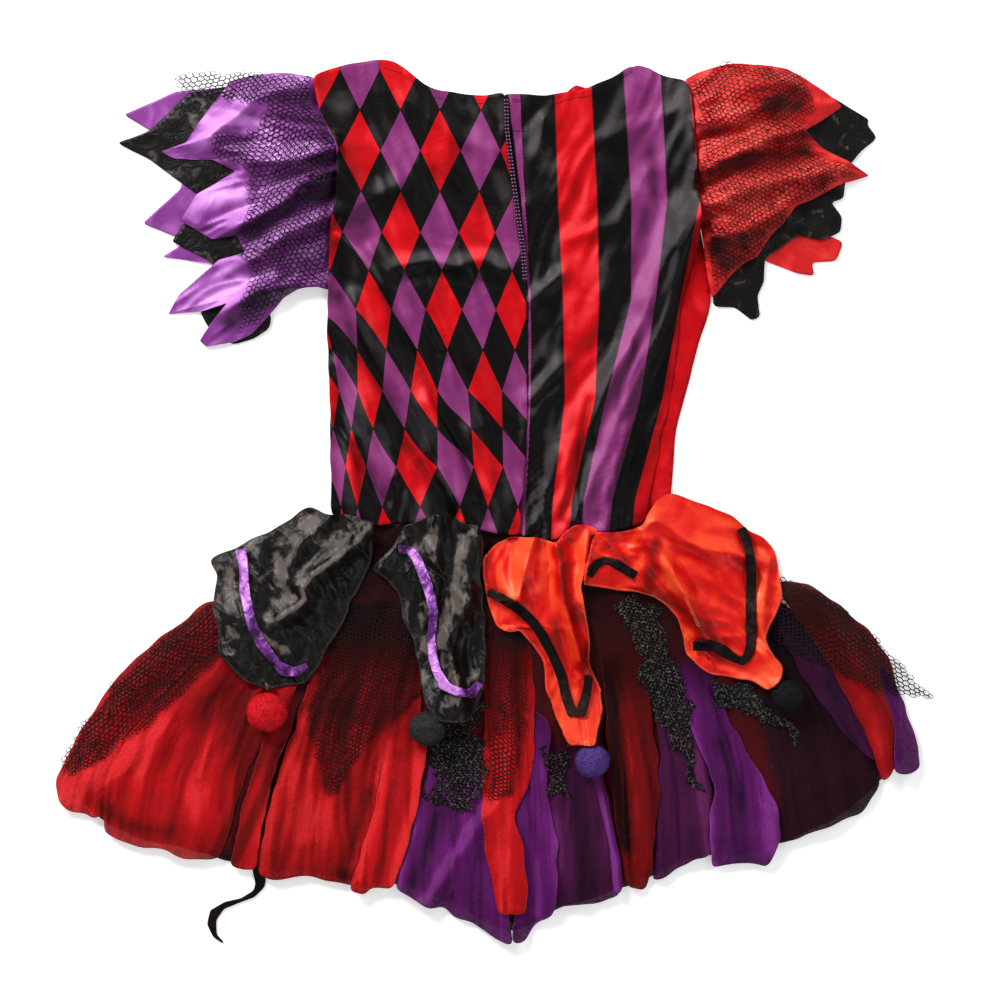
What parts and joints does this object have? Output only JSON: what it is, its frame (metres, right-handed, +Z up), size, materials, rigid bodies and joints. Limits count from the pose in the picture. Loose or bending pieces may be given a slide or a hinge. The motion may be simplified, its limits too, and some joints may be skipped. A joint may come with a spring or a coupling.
{
  "type": "jester costume",
  "caption": "Child's jester dress laid flat, back up: half diamond, half stripe bodice, puffed net sleeves with pointed hems, satin petals with pompoms, gathered tulle skirt.",
  "frame": {"origin": "centre of the costume's outline, on the surface that it lies on", "axes": "+X across the shoulders towards the red sleeve, +Y from the hem towards the neck, +Z up from the surface"},
  "size_m": [0.886, 0.884, 0.0395],
  "materials": {
    "printed_satin_red": "smooth printed satin",
    "violet_satin": "glossy satin",
    "sleeve_red_satin": "satin",
    "black_satin": "glossy satin",
    "black_net": "open hexagonal net",
    "dark_tulle": "fine tulle",
    "black_ribbon": "satin ribbon",
    "purple_tulle": "fine tulle",
    "red_tulle": "fine tulle",
    "printed_satin_stripes": "smooth satin printed with red, purple and black stripes",
    "printed_satin_diamonds": "smooth satin printed with red and purple diamonds on black",
    "thread_edge": "overlocked thread edge",
    "pompom_red": "dense yarn pile",
    "pompom_grey": "dense yarn pile",
    "pompom_purple": "dense yarn pile",
    "pompom_black": "dense yarn pile",
    "red_satin": "glossy satin",
    "purple_ribbon": "satin ribbon"
  },
  "bodies": {
    "root": {"bodice_front": "printed_satin_red", "left_sleeve_front": "violet_satin", "right_sleeve_front": "sleeve_red_satin", "left_front_points_violet": "violet_satin", "left_front_points_black": "black_satin", "right_front_points_red": "sleeve_red_satin", "right_front_points_black": "black_satin", "left_sleeve_back": "violet_satin", "right_sleeve_back": "sleeve_red_satin", "left_sleeve_net": "black_net", "right_sleeve_net": "black_net", "skirt_front": "dark_tulle", "hem_tie": "black_ribbon", "underskirt_back": "dark_tulle", "tulle_sheer_far_right": "dark_tulle", "tulle_sheer_right": "purple_tulle", "tulle_sheer_middle": "purple_tulle", "tulle_purple_left": "purple_tulle", "tulle_purple_middle": "purple_tulle", "tulle_red_far_left": "red_tulle", "tulle_red_left": "red_tulle", "tulle_red_narrow": "red_tulle", "tulle_purple_right": "purple_tulle", "tulle_red_far_right": "red_tulle", "tulle_purple_far_right": "purple_tulle", "tulle_red_right": "red_tulle", "tulle_purple_narrow": "purple_tulle", "tulle_red_bright": "red_tulle", "tulle_red_middle": "red_tulle", "tulle_purple_fold": "purple_tulle", "net_far_left": "black_net", "net_left": "black_net", "net_middle_left": "black_net", "net_middle": "black_net", "net_small": "black_net", "net_right": "black_net", "net_rolled": "black_net", "net_far_right": "black_net", "bodice_back_right": "printed_satin_stripes", "bodice_back_left": "printed_satin_diamonds", "opening_edge": "thread_edge", "pompom_red": "pompom_red", "pompom_grey": "pompom_grey", "pompom_purple": "pompom_purple", "pompom_black": "pompom_black", "petal_black_outer": "black_satin", "petal_black_inner": "black_satin", "petal_red_inner": "red_satin", "petal_red_outer": "red_satin", "ribbon_black_outer": "purple_ribbon", "ribbon_black_inner": "purple_ribbon", "ribbon_red_inner": "black_ribbon", "ribbon_valley": "black_ribbon", "ribbon_red_outer": "black_ribbon"}
  },
  "joints": []
}
